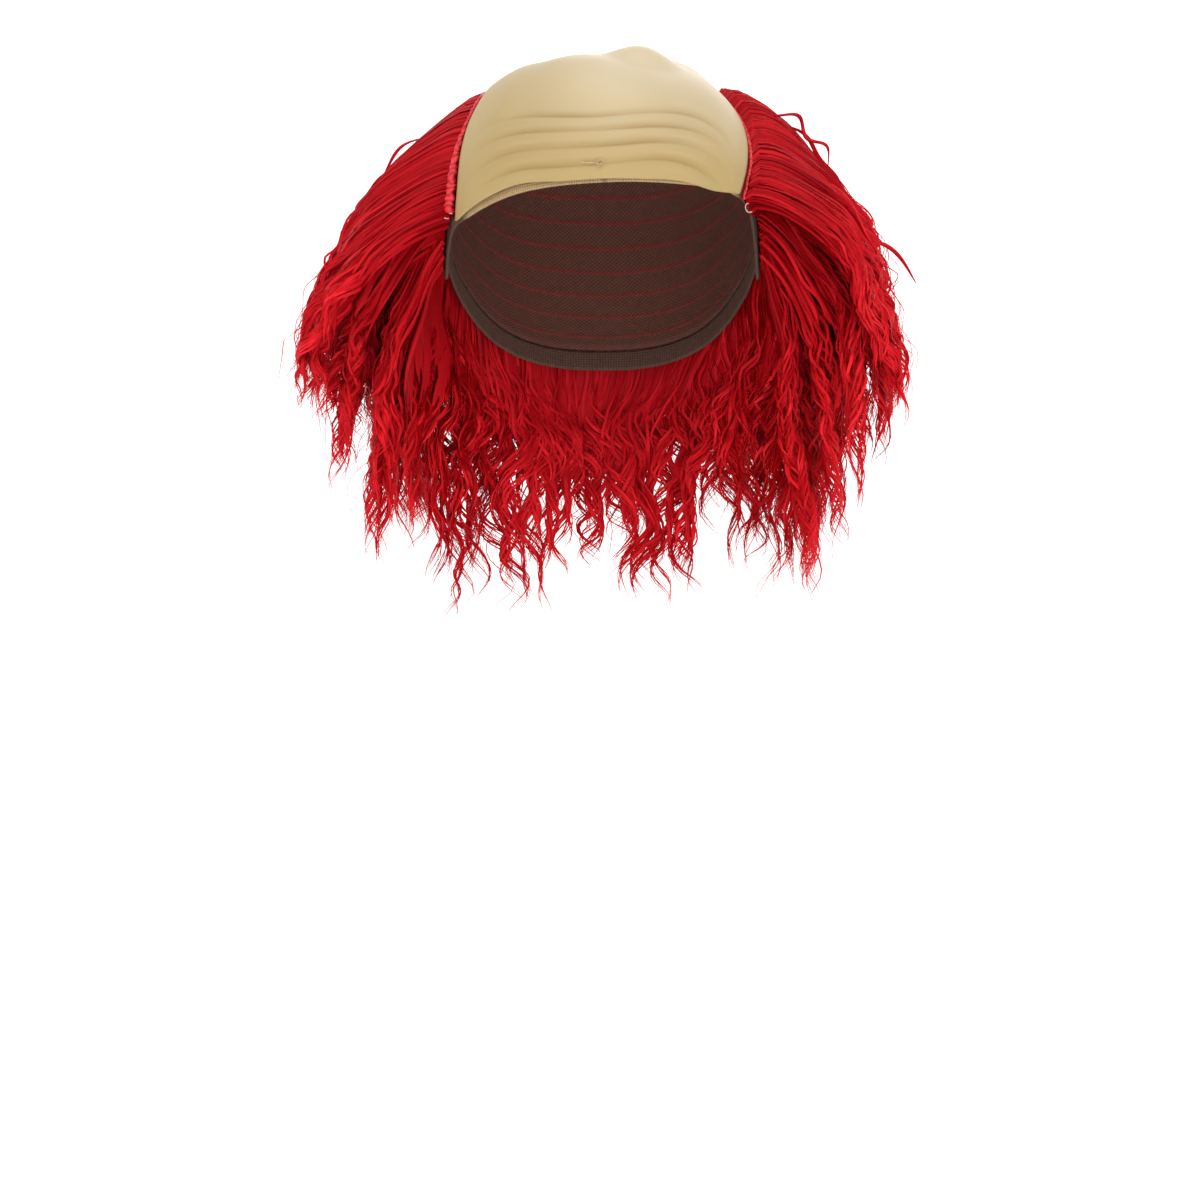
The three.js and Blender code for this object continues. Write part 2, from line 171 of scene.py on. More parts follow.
camera = bpy.data.objects.new("camera", bpy.data.cameras.new("camera"))
camera.data.lens, camera.data.sensor_width = SENSOR * CAMERA_AWAY / FRAME_WIDTH, SENSOR
camera.data.clip_end = 50
camera.location = (CAMERA_SIDE, -CAMERA_AWAY, CAMERA_LEVEL)
camera.rotation_euler = (np.pi / 2, 0, 0)
bpy.context.scene.collection.objects.link(camera)
bpy.context.scene.camera = camera

LAMPS = [  # name, place, aimed at, size, watts
    ("key_lamp", (-0.4, -1.6, 1.5), (0, 0, -0.1), 1.0, 13),
    ("front_lamp", (0.5, -2.0, 0.0), (0, 0, -0.16), 1.1, 6.5),
    ("left_lamp", (-1.8, -0.9, 0.9), (0, 0, -0.14), 1.0, 11),
    ("right_lamp", (1.8, -0.9, 0.9), (0, 0, -0.14), 1.0, 14),
    ("top_lamp", (0.1, -0.1, 1.9), (0, 0, -0.1), 1.2, 10),
    ("back_lamp", (0.3, 1.75, 0.9), (0, 0, -0.14), 1.0, 5),
]
for name, place, aim, size, watts in LAMPS:
    lamp = bpy.data.objects.new(name, bpy.data.lights.new(name, "AREA"))
    lamp.data.size, lamp.data.energy = size, watts
    lamp.location = place
    lamp.rotation_euler = (Vector(aim) - Vector(place)).to_track_quat("-Z", "Y").to_euler()
    bpy.context.scene.collection.objects.link(lamp)

world = bpy.data.worlds.new("studio_air")
world.use_nodes = True
world.node_tree.nodes["Background"].inputs["Color"].default_value = (1, 1, 1, 1)
world.node_tree.nodes["Background"].inputs["Strength"].default_value = 0.55
bpy.context.scene.world = world
bpy.context.scene.view_settings.view_transform = "Standard"


# Fit: the rounded form that the cap is made to, from which every piece stands off by its own few millimetres.
# The seam between latex and hair, and the lower edge of the elastic, are lines of directions drawn on it.
HEAD_HALF, HEAD_FORE, HEAD_CROWN, HEAD_NAPE, PLAN_POWER, DOME_POWER = 78.0, 97.0, 86.0, 125.0, 2.1, 2.5
HEAD_MIDDLE = np.array([0, 0, -HEAD_CROWN])
MEAN_RADIUS = (HEAD_HALF + HEAD_FORE) / 2
NET_WALL, LATEX_WALL, FIT_GAP = 1.5, 1.5, 0.4
ON_NET = NET_WALL + FIT_GAP
SEAM = [(-55, 1.9), (-54.3, 13.5), (-56, 24), (-58, 33), (-61, 42), (-69, 49.5), (-88, 53.5), (-108, 53),
        (-128, 49.5), (-152, 44), (180, 41.5), (152, 44), (128, 49.5), (108, 53), (93, 51.5), (81, 45),
        (72, 36.3), (64.3, 28.2), (57, 20.2), (52.3, 14.7), (48.5, 9.9)]
BAND_EDGE = [(0, 10), (-25, 7.8), (-46, 3), (-62, -1.2), (-69, -9), (-75, -16.5), (-86, -14), (-100, -11),
             (-118, -20), (-142, -31), (180, -35), (142, -31), (118, -20), (100, -11), (86, -14), (75, -16.5),
             (68, -7), (60, 5.5), (44, 10.2), (24, 10.4)]
LEFT_TEMPLE, RIGHT_TEMPLE = 4 / len(BAND_EDGE), 16 / len(BAND_EDGE)  # shares of the band's rows
LINE_STEPS, LINE_NEAR = 2001, 5e-4  # places at which a line is measured, and the share that shows its slope


def lerp(a, b, share):
    return a + (b - a) * share


def smoothstep(x, low, high):
    share = np.clip((x - low) / (high - low), 0, 1)
    return share * share * (3 - 2 * share)


def length(v):
    return np.sqrt((v * v).sum(-1, keepdims=True))


def unit(v):
    return v / np.maximum(length(v), 1e-12)


def heading(bearing, rise):
    """Unit direction at a bearing round from the face and a rise above the widest level, in degrees."""
    b, e = np.broadcast_arrays(np.radians(bearing), np.radians(rise))
    return np.stack([np.cos(e) * np.sin(b), -np.cos(e) * np.cos(b), np.sin(e)], -1)


def on_head(direction, off=0.0):
    """Point and normal where a direction from the middle meets (|x/a|^p + |y/b|^p)^(q/p) + |z/c|^q = 1, with
    the point moved out along the normal."""
    tall = np.where(direction[..., 2] > 0, HEAD_CROWN, HEAD_NAPE)

    def plan_of(p):
        across, fore = np.abs(p[..., 0] / HEAD_HALF), np.abs(p[..., 1] / HEAD_FORE)
        return np.maximum(across**PLAN_POWER + fore**PLAN_POWER, 1e-9)

    level = plan_of(direction) ** (DOME_POWER / PLAN_POWER) + np.abs(direction[..., 2] / tall) ** DOME_POWER
    p = direction * (level ** (-1 / DOME_POWER))[..., None]
    steep = plan_of(p) ** (DOME_POWER / PLAN_POWER - 1)
    x, y, z = (p[..., i] for i in range(3))
    normal = unit(np.stack([
        steep * np.sign(x) * np.abs(x) ** (PLAN_POWER - 1) / HEAD_HALF ** PLAN_POWER,
        steep * np.sign(y) * np.abs(y) ** (PLAN_POWER - 1) / HEAD_FORE ** PLAN_POWER,
        np.sign(z) * np.abs(z) ** (DOME_POWER - 1) / tall ** DOME_POWER], -1))
    return p + normal * np.asarray(off)[..., None] + HEAD_MIDDLE, normal


class Line:
    """Smooth line of directions through a table's rows: cubic pieces whose slopes at each row come from its
    neighbours, spaced by the square roots of the distances between rows."""

    def __init__(self, table, closed):
        rows = heading(*np.array(table, float).T)
        self.closed, self.count = closed, len(rows) - (not closed)
        before, after = (rows[-1], rows[:2]) if closed else (2 * rows[0] - rows[1], [2 * rows[-1] - rows[-2]])
        self.rows = np.vstack([before, rows, after])
        steps = np.linspace(0, 1, LINE_STEPS)
        reach = np.concatenate([[0], np.cumsum(length(np.diff(self.at_row(steps), axis=0)))])
        self.steps, self.reach, self.long = steps, reach / reach[-1], reach[-1]

    def at_row(self, step):
        place = np.clip(step, 0, 1) * self.count
        i = np.minimum(place.astype(int), self.count - 1)
        w = (place - i)[..., None]
        p0, p1, p2, p3 = (self.rows[i + k] for k in range(4))
        d0, d1, d2 = (np.sqrt(length(b - a)) for a, b in ((p0, p1), (p1, p2), (p2, p3)))
        s1 = d1 * ((p1 - p0) / d0 - (p2 - p0) / (d0 + d1) + (p2 - p1) / d1)
        s2 = d1 * ((p2 - p1) / d1 - (p3 - p1) / (d1 + d2) + (p3 - p2) / d2)
        return p1 + s1 * w + (3 * (p2 - p1) - 2 * s1 - s2) * w**2 + (2 * (p1 - p2) + s1 + s2) * w**3

    def at(self, share):
        """Direction at a share of the line's length."""
        return unit(self.at_row(np.interp(share, self.reach, self.steps)))


seam_line, band_line = Line(SEAM, False), Line(BAND_EDGE, True)


def beside(line, share, distance):
    """Direction moved over the head by some millimetres to one side of a line."""
    share = np.clip(share, 0, 1)
    here = line.at(share)
    along = unit(line.at(np.minimum(share + LINE_NEAR, 1)) - line.at(np.maximum(share - LINE_NEAR, 0)))
    radius = length(on_head(here)[0] - HEAD_MIDDLE)
    return unit(here + unit(np.cross(along, here)) * np.asarray(distance)[..., None] / radius)


# Latex scalp: a moulded skin of cream-tan latex, 1.5 mm thick, that lies on the cap's edge and bulges a little
# over the crown. Five folds cross the forehead with four creases between them, and fade before the seams.
FOLD_HEIGHT, FOLD_ABOVE, FOLD_BELOW, FOLD_DROP, FOLD_FADE, FOLD_BEND = 1.3, 3.2, 2.1, 0.8, 28.0, 4
SWELL_PLACE, SWELL_SPAN, BULGE_FADE, ON_CAP_END, OFF_CAP = 0.33, 0.25, 14.0, 17.0, 37.0
CREASE_DEPTH, CREASE_WIDTH, CREASE_START, CREASE_FULL = 0.5, 0.8, 8.0, 45.0
FRONT_RISE, BROW_RISE, BACK_RISE, BROW_SEAM, LAST_SEAM = 9.0, 32.0, 139.0, 0.34, 0.96
BROW_ROWS, CROWN_ROWS = 22, 15
FRONT_LIFT = [0, 2.3, 3.8, 2.4, 1.9, 1.3, 0.9, -0.9, 0]
FOLDS = [  # height up the forehead at the left, in the middle and at the right, swell, how proud
    (0.08, 0.08, -0.25, 0.07, 0.6), (0.1, 0.325, -0.1, 0.06, 1), (0.24, 0.575, -0.05, 0.02, 1),
    (0.4, 0.79, -0.2, 0, 0.9), (0.6, 1, -0.1, 0, 0.7)]
BULGES = [  # across, back, radius and height, as shares of the form's half width
    (0.244, -0.403, 0.288, 0.084), (-0.19, -0.622, 0.419, 0.033), (0.482, 0.083, 0.367, 0.04),
    (-0.183, 0.633, 0.4, 0.007)]
SCALP_ROWS, SCALP_COLUMNS = 130, 110


def between(values, share):
    """Number between a list's evenly spaced values, on a cubic through them."""
    place = np.clip(share, 0, 1) * (len(values) - 1)
    low = np.minimum(place.astype(int), len(values) - 2)
    values = np.array(values, float)
    slope = np.gradient(values)
    w = place - low
    a, b, s, t = values[low], values[low + 1], slope[low], slope[low + 1]
    return a + s * w + (3 * (b - a) - 2 * s - t) * w**2 + (2 * (a - b) + s + t) * w**3


def latex_direction(rise, across):
    """Direction on the scalp: at each rise, a parabola through the left seam, the middle and the right one."""
    row = rise * (BROW_ROWS + CROWN_ROWS)
    brow, crown = np.minimum(row / BROW_ROWS, 1), np.maximum((row - BROW_ROWS) / CROWN_ROWS, 0)
    share = lerp(brow * BROW_SEAM, LAST_SEAM, crown) / 2
    up = lerp(lerp(FRONT_RISE, BROW_RISE, brow), BACK_RISE, crown)
    lift = between(FRONT_LIFT, across) * (1 - brow) ** 2
    u = (2 * across - 1)[..., None]
    d = heading(0, up) * (1 - u * u) + seam_line.at(share) * u * (u - 1) / 2
    d = unit(d + seam_line.at(1 - share) * u * (u + 1) / 2)
    d[..., 2] += np.sin(np.radians(lift))
    return unit(d), brow, crown, row


def latex_off(rise, across):
    """How far the latex stands off: over the cap's edge, at the folds, each a ridge exp(-(d/w)^2) that is
    steeper below its crest than above, less a sharp groove exp(-|d|/w) between two folds, and at the bulges.
    Also how much painted shade each place gets from the creases near it."""
    d, brow, crown, row = latex_direction(rise, across)
    u = 2 * across - 1
    side, middle = (latex_direction(rise, np.full_like(across, v))[0] for v in (0, 0.5))
    half_way = np.arccos(np.clip((side * middle).sum(-1), -1, 1))
    from_side = (1 - np.abs(u)) * half_way * MEAN_RADIUS
    from_front = np.radians((BROW_RISE - FRONT_RISE) * brow + 90 * crown) * MEAN_RADIUS
    from_back = np.radians(BACK_RISE - BROW_RISE) * (1 - crown) * MEAN_RADIUS
    inward = np.minimum(np.minimum(from_side, from_front), from_back)
    off = ON_NET * (1 - smoothstep(inward, ON_CAP_END, OFF_CAP))
    row_height = np.radians(BROW_RISE - FRONT_RISE) * MEAN_RADIUS / BROW_ROWS
    folded, crease, below = 0.0, 0.0, None
    for left, middle, right, swell, height in FOLDS:
        place = lerp(middle, np.where(u < 0, left, right), np.abs(u) ** FOLD_BEND)
        place = (place + swell * np.exp(-(((u - SWELL_PLACE) / SWELL_SPAN) ** 2))) * BROW_ROWS - FOLD_DROP
        past = (row - place) * row_height
        folded = folded + height * np.exp(-((past / np.where(past > 0, FOLD_ABOVE, FOLD_BELOW)) ** 2))
        if below is not None:
            line = (row - lerp(below, place, FOLD_ABOVE / (FOLD_ABOVE + FOLD_BELOW))) * row_height
            sharp = 0.75 + 0.25 * np.sin(7 * u + 5 * middle * BROW_ROWS)
            sharp = sharp * smoothstep(from_side, CREASE_START, CREASE_FULL)
            folded = folded - CREASE_DEPTH / FOLD_HEIGHT * sharp * np.exp(-np.hypot(line, 0.15) / CREASE_WIDTH)
            # Painted shade in the creases: a soft dark band and a thin dark line beside each groove.
            soft, fine = np.exp(-(((line - 0.7) / 1.4) ** 2)), np.exp(-((line / 0.45) ** 2))
            crease = crease + sharp * (0.55 * soft + 0.6 * fine)
        below = place
    off = off + FOLD_HEIGHT * folded * smoothstep(from_side, LATEX_WALL, FOLD_FADE)
    p = on_head(d)[0] / HEAD_HALF
    free = smoothstep(from_side, LATEX_WALL, BULGE_FADE)
    for x, y, radius, height in BULGES:
        away = np.hypot(p[..., 0] - x, p[..., 1] - y) / radius
        off = off + height * HEAD_HALF * np.maximum(1 - away**2, 0) ** 2 * free
    return d, off, crease


def wall_faces(rows, columns, wrapped=False):
    """Faces of an inner and an outer grid joined round their edges."""
    ring = columns if wrapped else columns + 1
    far = (rows + 1) * ring
    c, r = np.arange(columns), np.arange(rows)
    d = (c + 1) % ring
    top = rows * ring
    edges = [np.stack([c, far + c, far + d, d], -1),
             np.stack([top + c, top + d, far + top + d, far + top + c], -1)]
    if not wrapped:
        a, b = r * ring, (r + 1) * ring
        edges += [np.stack([a, b, far + b, far + a], -1),
                  np.stack([a + columns, far + a + columns, far + b + columns, b + columns], -1)]
    return [grid_faces(rows, columns, wrapped), grid_faces(rows, columns, wrapped, far, True), *edges]


def outward(points, faces):
    """The same faces, turned over if they enclose a negative volume."""
    volume = 0.0
    for f in faces:
        for k in range(1, f.shape[1] - 1):
            a, b, c = points[f[:, 0]], points[f[:, k]], points[f[:, k + 1]]
            volume += (a * np.cross(b, c)).sum()
    return [f[:, ::-1] for f in faces] if volume < 0 else faces


def wall_uv(u, v, step):
    """UV places of a wall's inner grid, and of its outer grid a step further over the map."""
    inner = np.stack(np.broadcast_arrays(u, v), -1).reshape(-1, 2)
    return np.concatenate([inner, inner + np.array(step)])


def draw_latex(shade):
    """Moulded latex: tan in soft clouds, with a painted highlight that pales the crown as if lit from above and
    painted shade in the creases, with pores and fine wrinkles across the forehead."""
    place = shade.node("TexCoord", out=3)
    soft, broad, pores = place.noise(22.0, 3.0, 0.55), place.noise(9.0, 1.0), place.noise(900.0, 2.0)
    wrinkles = shade.node("Mapping", None, {"Vector": place, "Scale": (30, 30, 190)}).noise(1.0, 3.0)
    crease = shade.node("Attribute", {"attribute_name": "crease"}, out=2)
    aside = (place.part(0) - 0.035).maths("ABSOLUTE")
    # Painted highlight: the crown, and most of all its middle, is paled as if lit and shining from above.
    high = place.part(2).ramp(-0.06, -0.01) * aside.ramp(0.03, 0.095, 1.0, 0.2)
    tan = (broad * 0.7 + soft * 0.3).blend((0.375, 0.262, 0.10), (0.44, 0.32, 0.132))
    tan = (high * 0.85).blend(tan, (0.57, 0.47, 0.32))
    # Painted shade darkens the latex in the creases.
    tan = (crease * 0.8).blend(tan, (0.28, 0.175, 0.05))
    return {"Base Color": tan, "Roughness": 0.38 + soft * 0.2, "Specular IOR Level": 0.38,
            "Normal": (wrinkles * 0.5 + pores * 0.12 + soft * 0.4).relief(0.35, 0.0006)}


rise, across = np.meshgrid(np.linspace(0, 1, SCALP_ROWS + 1), np.linspace(0, 1, SCALP_COLUMNS + 1),
                           indexing="ij")
latex_way, latex_rise, crease = latex_off(rise, across)
points = np.concatenate([on_head(latex_way, latex_rise + k * LATEX_WALL)[0].reshape(-1, 3) for k in (0, 1)])
latex_uv = wall_uv(0.01 + 0.48 * across, 0.01 + 0.98 * rise, (0.5, 0))


scalp = mesh_piece("scalp", points, outward(points, wall_faces(SCALP_ROWS, SCALP_COLUMNS)),
                   finish_of("moulded_latex", draw_latex), latex_uv, {"crease": np.tile(crease.ravel(), 2)})
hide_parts("latex_scalp")
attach(scalp, "root")


# Elastic band: a 10 mm woven elastic sewn along the inner lower edge of the cap, ribbed across its width. It
# is tan under the latex, and dark brown where it runs on behind the temples.
BAND_WIDTH, BAND_ROWS, BAND_COLUMNS, BAND_EDGE_ROUND, BAND_EDGE_POWER = 10.0, 10, 300, 0.5, 8

rise, round_share = np.meshgrid(np.linspace(0, 1, BAND_ROWS + 1), np.arange(BAND_COLUMNS) / BAND_COLUMNS,
                                indexing="ij")
band_way = beside(band_line, round_share, rise * BAND_WIDTH)
hem = BAND_EDGE_ROUND * (1 - np.sqrt(1 - np.abs(2 * rise - 1) ** BAND_EDGE_POWER))
points = np.concatenate([on_head(band_way, off)[0].reshape(-1, 3) for off in (hem, NET_WALL - hem)])
band_uv = wall_uv(0.01 + 0.98 * round_share, 0.02 + 0.46 * rise, (0, 0.5))


def draw_elastic(shade):
    """Woven elastic: fine ribs across the band and cords along it, with a little fuzz, tan in front of the
    temples and brown behind them."""
    weave_map, place = shade.node("UVMap", {"uv_map": "OFBake"}), shade.node("TexCoord", out=3)
    ribs, cords = weave_map.part(0).wave(520) * 0.5 + 0.5, weave_map.part(1).wave(17) * 0.5 + 0.5
    weave, fuzz = ribs * 0.6 + cords * 0.4, place.noise(240.0, 3.0)
    behind = (place.part(1) + fuzz * 0.006).ramp(-0.056, -0.05)
    light = weave * 0.6 + fuzz * 0.4
    tan = light.blend((0.20, 0.12, 0.045), (0.50, 0.35, 0.17))
    brown = light.blend((0.02, 0.008, 0.006), (0.13, 0.06, 0.035))
    return {"Base Color": behind.blend(tan, brown), "Roughness": 0.85,
            "Normal": (weave + fuzz * 0.3).relief(0.7, 0.0005)}


band = mesh_piece("elastic", points, outward(points, wall_faces(BAND_ROWS, BAND_COLUMNS, True)),
                  finish_of("woven_elastic", draw_elastic), band_uv)
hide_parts("elastic_band")
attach(band, "root")


# Net cap: stretch net cut to the sides and back of the cap, sewn under the edge of the latex and to the
# elastic. The wefts of hair are sewn on it in rows, and their stitches show on its inside.
NET_OVERLAP, NET_END, NET_FOOT, NET_ROWS, NET_COLUMNS, BAND_PLACES = 7.0, 0.012, 0.94, 30, 180, 1200
BRAID_INSET, BRAID_LEFT, BRAID_TOP, WEFT_CLEARANCE = 3.8, 2.7, 1.2, 1.8
HAIR_START = BRAID_INSET + BRAID_LEFT + WEFT_CLEARANCE


def on_cap(along, down):
    """Direction on the cap, along from the left temple to the right one and down from where the hair starts
    to the band's lower edge."""
    foot = unit(band_line.at_row(lerp(LEFT_TEMPLE, RIGHT_TEMPLE, along)))
    return unit(lerp(beside(seam_line, along, -HAIR_START), foot, np.asarray(down)[..., None]))


def bearing_and_rise(way):
    """How far round a direction points, in degrees, and the slope at which it rises."""
    return np.degrees(np.arctan2(way[..., 0], way[..., 1])), way[..., 2] / np.hypot(way[..., 0], way[..., 1])


down, along = np.meshgrid(np.linspace(0, 1, NET_ROWS + 1), np.linspace(0, 1, NET_COLUMNS + 1), indexing="ij")
along = lerp(NET_END, 1 - NET_END, along)
overlap = NET_OVERLAP * smoothstep(np.minimum(along, 1 - along), 2 * NET_END, 0.1)
net_top, net_foot = beside(seam_line, along, overlap), on_cap(along, np.full_like(along, NET_FOOT))
band_round, band_rise = bearing_and_rise(
    beside(band_line, np.linspace(0, 1, BAND_PLACES, endpoint=False), BAND_WIDTH + FIT_GAP))
foot_round, foot_rise = bearing_and_rise(net_foot)
order = np.argsort(band_round)
sunk = np.maximum(np.interp(foot_round, band_round[order], band_rise[order]) - foot_rise, 0)
net_foot[..., 2] += sunk * np.hypot(net_foot[..., 0], net_foot[..., 1])
net_way = unit(lerp(net_top, unit(net_foot), down[..., None]))
points = np.concatenate([on_head(net_way, off)[0].reshape(-1, 3) for off in (0.0, NET_WALL)])
net_uv = wall_uv(0.01 + 0.98 * along, 0.01 + 0.48 * down, (0, 0.5))


def draw_net(shade):
    """Stretch net: two sets of brown threads that cross aslant over dark holes, and rows of red stitches where
    the wefts are sewn on."""
    net_map = shade.node("UVMap", {"uv_map": "OFBake"})
    u, v = net_map.part(0), net_map.part(1)
    one, other = ((u * 300 + v * slant).wave(0.5).maths("ABSOLUTE") for slant in (150, -150))
    thread = 1 - one.maths("MINIMUM", other).ramp(0.2, 0.45)
    stitches = (1 - v.wave(12).maths("ABSOLUTE").ramp(0.1, 0.3)) * (u.wave(700) * 0.5 + 0.5)
    fuzz = shade.node("TexCoord", out=3).noise(300.0, 3.0)
    brown = (thread * 0.8 + fuzz * 0.3).blend((0.035, 0.006, 0.005), (0.17, 0.055, 0.028))
    return {"Base Color": stitches.blend(brown, (0.30, 0.012, 0.014)), "Roughness": 0.8,
            "Normal": (thread + stitches).relief(0.8, 0.0005)}


net = mesh_piece("net", points, outward(points, wall_faces(NET_ROWS, NET_COLUMNS)),
                 finish_of("stretch_net", draw_net), net_uv)
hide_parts("net_cap")
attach(net, "root")


# Braided weft: a thick bright cord of shiny red fibre, plaited and drawn into puckers by its thread, beside the
# seam. It is widest at the left temple and thin over the crown and at the right, and lies on a red weft tape
# that leaves a narrow gap to the latex. The tape's dark red is painted shade, for the shadow beside the cord and
# in that gap.
BRAID_FLAT, BEAD_PITCH, BEAD_STEPS, BRAID_SIDES, BEAD_POWER = 0.85, 3.3, 8, 14, 0.6
BRAID_START, BRAID_STOP, BRAID_WIDEST, BRAID_OUT, BRAID_NEAR = 0.011, 0.995, 4.0, 0.8, 1e-3
LEFT_OUT, LEFT_FLATTER, RIGHT_THINNER = 1.3, 0.25, 0.35  # what changes towards the two temples
TAPE_FROM, TAPE_TO, TAPE_THICK, TAPE_SUNK, TAPE_ROWS, TAPE_COLUMNS = 0.5, 9.5, 0.45, 0.2, 600, 12
GATHER_HIGH, GATHERS = 0.12, 170


def braid_centre(share):
    """Point beside the seam on which the cord runs, its normal, its sideways direction, its half width and how
    flat it lies."""
    left, right = 1 - smoothstep(share, 0.02, 0.15), smoothstep(share, 0.9, 0.96)
    half = BRAID_TOP + (BRAID_WIDEST - BRAID_TOP) * left - RIGHT_THINNER * right
    flat = BRAID_FLAT - LEFT_FLATTER * left
    inset = BRAID_INSET + BRAID_OUT + LEFT_OUT * left
    point, normal = on_head(beside(seam_line, share, -inset), ON_NET + half * flat)
    after, before = (on_head(beside(seam_line, share + step, -inset))[0] for step in (BRAID_NEAR, -BRAID_NEAR))
    return point, normal, unit(np.cross(after - before, normal)), half, flat


beads = int(seam_line.long * MEAN_RADIUS / BEAD_PITCH)
share = np.linspace(BRAID_START, BRAID_STOP, beads * BEAD_STEPS + 1)
point, normal, aside, half, flat = braid_centre(share)
turn = np.linspace(0, 2 * np.pi, BRAID_SIDES, endpoint=False)[None]
count = (beads * share)[:, None]
# Each bead is |sin(pi n)|^p along the cord, tilted and lobed a little by slow waves round it.
tilted = count + 0.32 * np.sin(2 * np.pi * 0.37 * count) * np.cos(turn) + 0.2 * np.sin(2 * turn + 1.3 * count)
bead = np.abs(np.sin(np.pi * tilted)) ** BEAD_POWER
swell = 0.26 + 0.09 * np.sin(2 * np.pi * 0.61 * count) + 0.09 * np.sin(3 * turn + 2.9 * count)
ring = (0.74 + swell * bead) * half[:, None] * (1 - 0.8 * (np.abs(2 * share[:, None] - 1) ** 400))
sway = (0.35 * np.sin(0.9 * count) + 0.25 * np.sin(2.3 * count + 1)) * smoothstep(share[:, None], 0.1, 0.2)
cord = (point[:, None] + aside[:, None] * (ring * np.cos(turn) + sway)[..., None]
        + normal[:, None] * (ring * np.sin(turn) * flat[:, None])[..., None])
cord_rows = len(share) - 1
caps = [np.arange(BRAID_SIDES)[None, ::-1], np.arange(BRAID_SIDES)[None] + cord_rows * BRAID_SIDES]
cord_faces = outward(cord.reshape(-1, 3), [grid_faces(cord_rows, BRAID_SIDES, True), *caps])
cord_uv = np.stack(np.broadcast_arrays(0.02 + 0.44 * turn / (2 * np.pi), 0.01 + 0.98 * share[:, None]), -1)

tape_share, width = np.meshgrid(np.linspace(0.004, 0.996, TAPE_ROWS + 1), np.linspace(0, 1, TAPE_COLUMNS + 1),
                                indexing="ij")
tape_way = beside(seam_line, tape_share, -lerp(TAPE_FROM, TAPE_TO, width))
gather = GATHER_HIGH * np.sin(2 * np.pi * GATHERS * tape_share) * np.sin(np.pi * width)
tape = np.concatenate([on_head(tape_way, ON_NET - TAPE_SUNK + k * (TAPE_THICK + gather))[0].reshape(-1, 3)
                       for k in (0, 1)])
tape_uv = wall_uv(0.5 + 0.22 * width, 0.01 + 0.98 * tape_share, (0.24, 0))
tape_faces = outward(tape, wall_faces(TAPE_ROWS, TAPE_COLUMNS))


def draw_fibre(shade):
    """Shiny plastic fibre: fine streaks of lighter and darker red round the cord, with a painted highlight on the
    crowns of its beads and painted shade in its puckers and on the tape."""
    fibre_map = shade.node("UVMap", {"uv_map": "OFBake"})
    crown = shade.node("Attribute", {"attribute_name": "crown"}, out=2)
    streak = shade.node("Mapping", None, {"Vector": fibre_map, "Scale": (12, 2400, 1)}).noise(1.0, 3.0, 0.6)
    patch = shade.node("TexCoord", out=3).noise(90.0, 2.0)
    # Painted light: the crown mark lifts the beads' crowns and darkens the puckers and the tape as shade.
    share = crown * 0.9 + streak * 0.5 + patch * 0.5 - 0.6
    colour = shade.node("ValToRGB", {"stops": [
        (0.0, (0.10, 0.0008, 0.003)), (0.3, (0.34, 0.002, 0.006)), (0.7, (0.66, 0.012, 0.018)),
        (1.0, (0.85, 0.05, 0.06))]}, {0: share})
    return {"Base Color": colour, "Roughness": 0.27 + streak * 0.14, "Specular IOR Level": 0.4,
            "Normal": streak.relief(0.5, 0.0003)}


points = np.concatenate([cord.reshape(-1, 3), tape])
braid = mesh_piece(
    "braid", points, [*cord_faces, *(f + cord.shape[0] * BRAID_SIDES for f in tape_faces)],
    finish_of("braided_fibre", draw_fibre), np.concatenate([cord_uv.reshape(-1, 2), tape_uv]),
    # The crown mark carries a painted highlight on each bead and painted shade in the puckers and on the tape.
    {"crown": np.concatenate([(0.25 + 0.75 * bead).ravel(), np.full(len(tape), -0.1)])})
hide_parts("seam_braid")
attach(braid, "root")


# Thread ends: short ends of sewing thread left where the cap was tacked. One lies on the forehead, tan, with its
# loop pulled open, and one at each lower end of the braided cord.
THREAD_RADIUS, THREAD_STEPS, THREAD_SIDES = 0.25, 24, 6
THREAD_SPOTS = [(-3.5, -59.4, 0.9), (-74.0, -81.5, 2.6), (71.0, -77.5, 2.6)]  # across, up, stand-off
THREAD_LINES = [  # spot, then centre, half sizes, start and sweep of an elliptical arc, in mm and turns
    (0, -2.6, 0.2, 3.4, 0.5, 0.5, 0.5), (0, 2.2, 0.1, 1.7, 1.2, 0.05, 0.85), (0, 2.6, -0.6, 1.3, 1.6, 0.3, 0.5),
    (1, -0.1, 1.4, 0.8, 0.6, 0.05, 0.35), (1, -1.8, -0.2, 1.0, 0.4, 0.5, 0.4),
    (2, 0.0, 0.4, 1.1, 1.9, 0.2, 0.55), (2, 0.8, -1.3, 1.3, 0.8, 0.45, 0.5),
]


def tubes(paths, wide, thick, sides):
    """Closed tubes along many equal paths at once: an ellipse with half axes wide and thick round each point,
    and a flat face at each end."""
    many, steps = paths.shape[:2]
    turn = np.linspace(0, 2 * np.pi, sides, endpoint=False)
    ring = (wide[:, :, None] * np.cos(turn)[:, None] + thick[:, :, None] * np.sin(turn)[:, None])
    points = (paths[:, :, None] + ring).reshape(-1, 3)
    sleeve = grid_faces(steps - 1, sides, True)
    start = (np.arange(many) * steps * sides)[:, None, None]
    first = np.arange(sides)[None] + start[:, 0]
    ends = np.concatenate([first[:, ::-1], first + (steps - 1) * sides])
    return points, [(sleeve[None] + start).reshape(-1, 4), ends]


